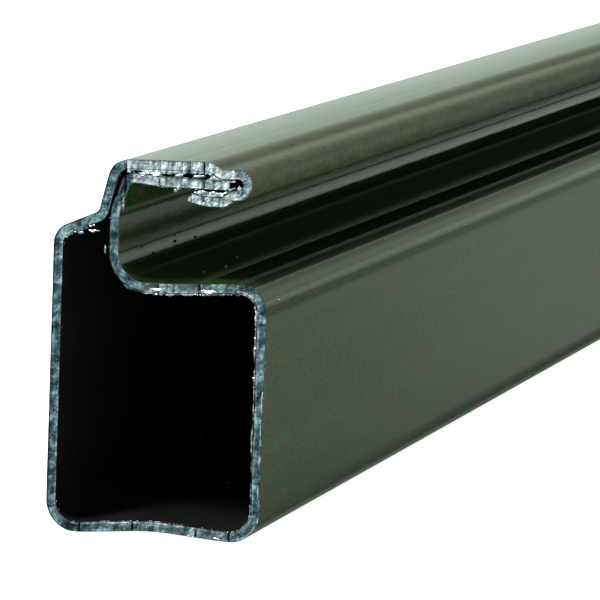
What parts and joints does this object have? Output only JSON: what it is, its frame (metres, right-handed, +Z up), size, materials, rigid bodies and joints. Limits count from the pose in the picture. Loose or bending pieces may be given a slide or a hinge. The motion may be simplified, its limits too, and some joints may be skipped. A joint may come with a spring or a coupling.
{
  "type": "roll-formed screen rail",
  "caption": "Roll-formed aluminium rail: hollow box, spline groove along its front and lock-seamed flange on top, bronze enamel outside, saw-cut ends.",
  "frame": {"origin": "centre of the footprint, on the surface that the two feet stand on", "axes": "+Z up, from the feet to the flange; +Y along the rail; +X the way the spline groove opens"},
  "size_m": [0.0112, 0.9144, 0.019],
  "materials": {
    "bare_aluminium": "bare saw-cut and slit aluminium, dull grey with bright burrs",
    "bronze_enamel": "dark bronze baked enamel, semi-gloss",
    "wash_coat": "thin dark primer wash, matt"
  },
  "bodies": {
    "root": {"hem_lip": "bare_aluminium", "hem_bead": "bare_aluminium", "seam_flange": "bare_aluminium", "seam_step": "bare_aluminium", "back_shoulder": "bare_aluminium", "back_wall": "bare_aluminium", "back_foot": "bare_aluminium", "bottom_web": "bare_aluminium", "front_foot": "bare_aluminium", "front_wall": "bare_aluminium", "front_shoulder": "bare_aluminium", "groove_floor": "bare_aluminium", "groove_heel": "bare_aluminium", "groove_back": "bare_aluminium", "seam_tongue": "bare_aluminium", "enamel_coat": "bronze_enamel", "wash_coat": "wash_coat"}
  },
  "joints": []
}
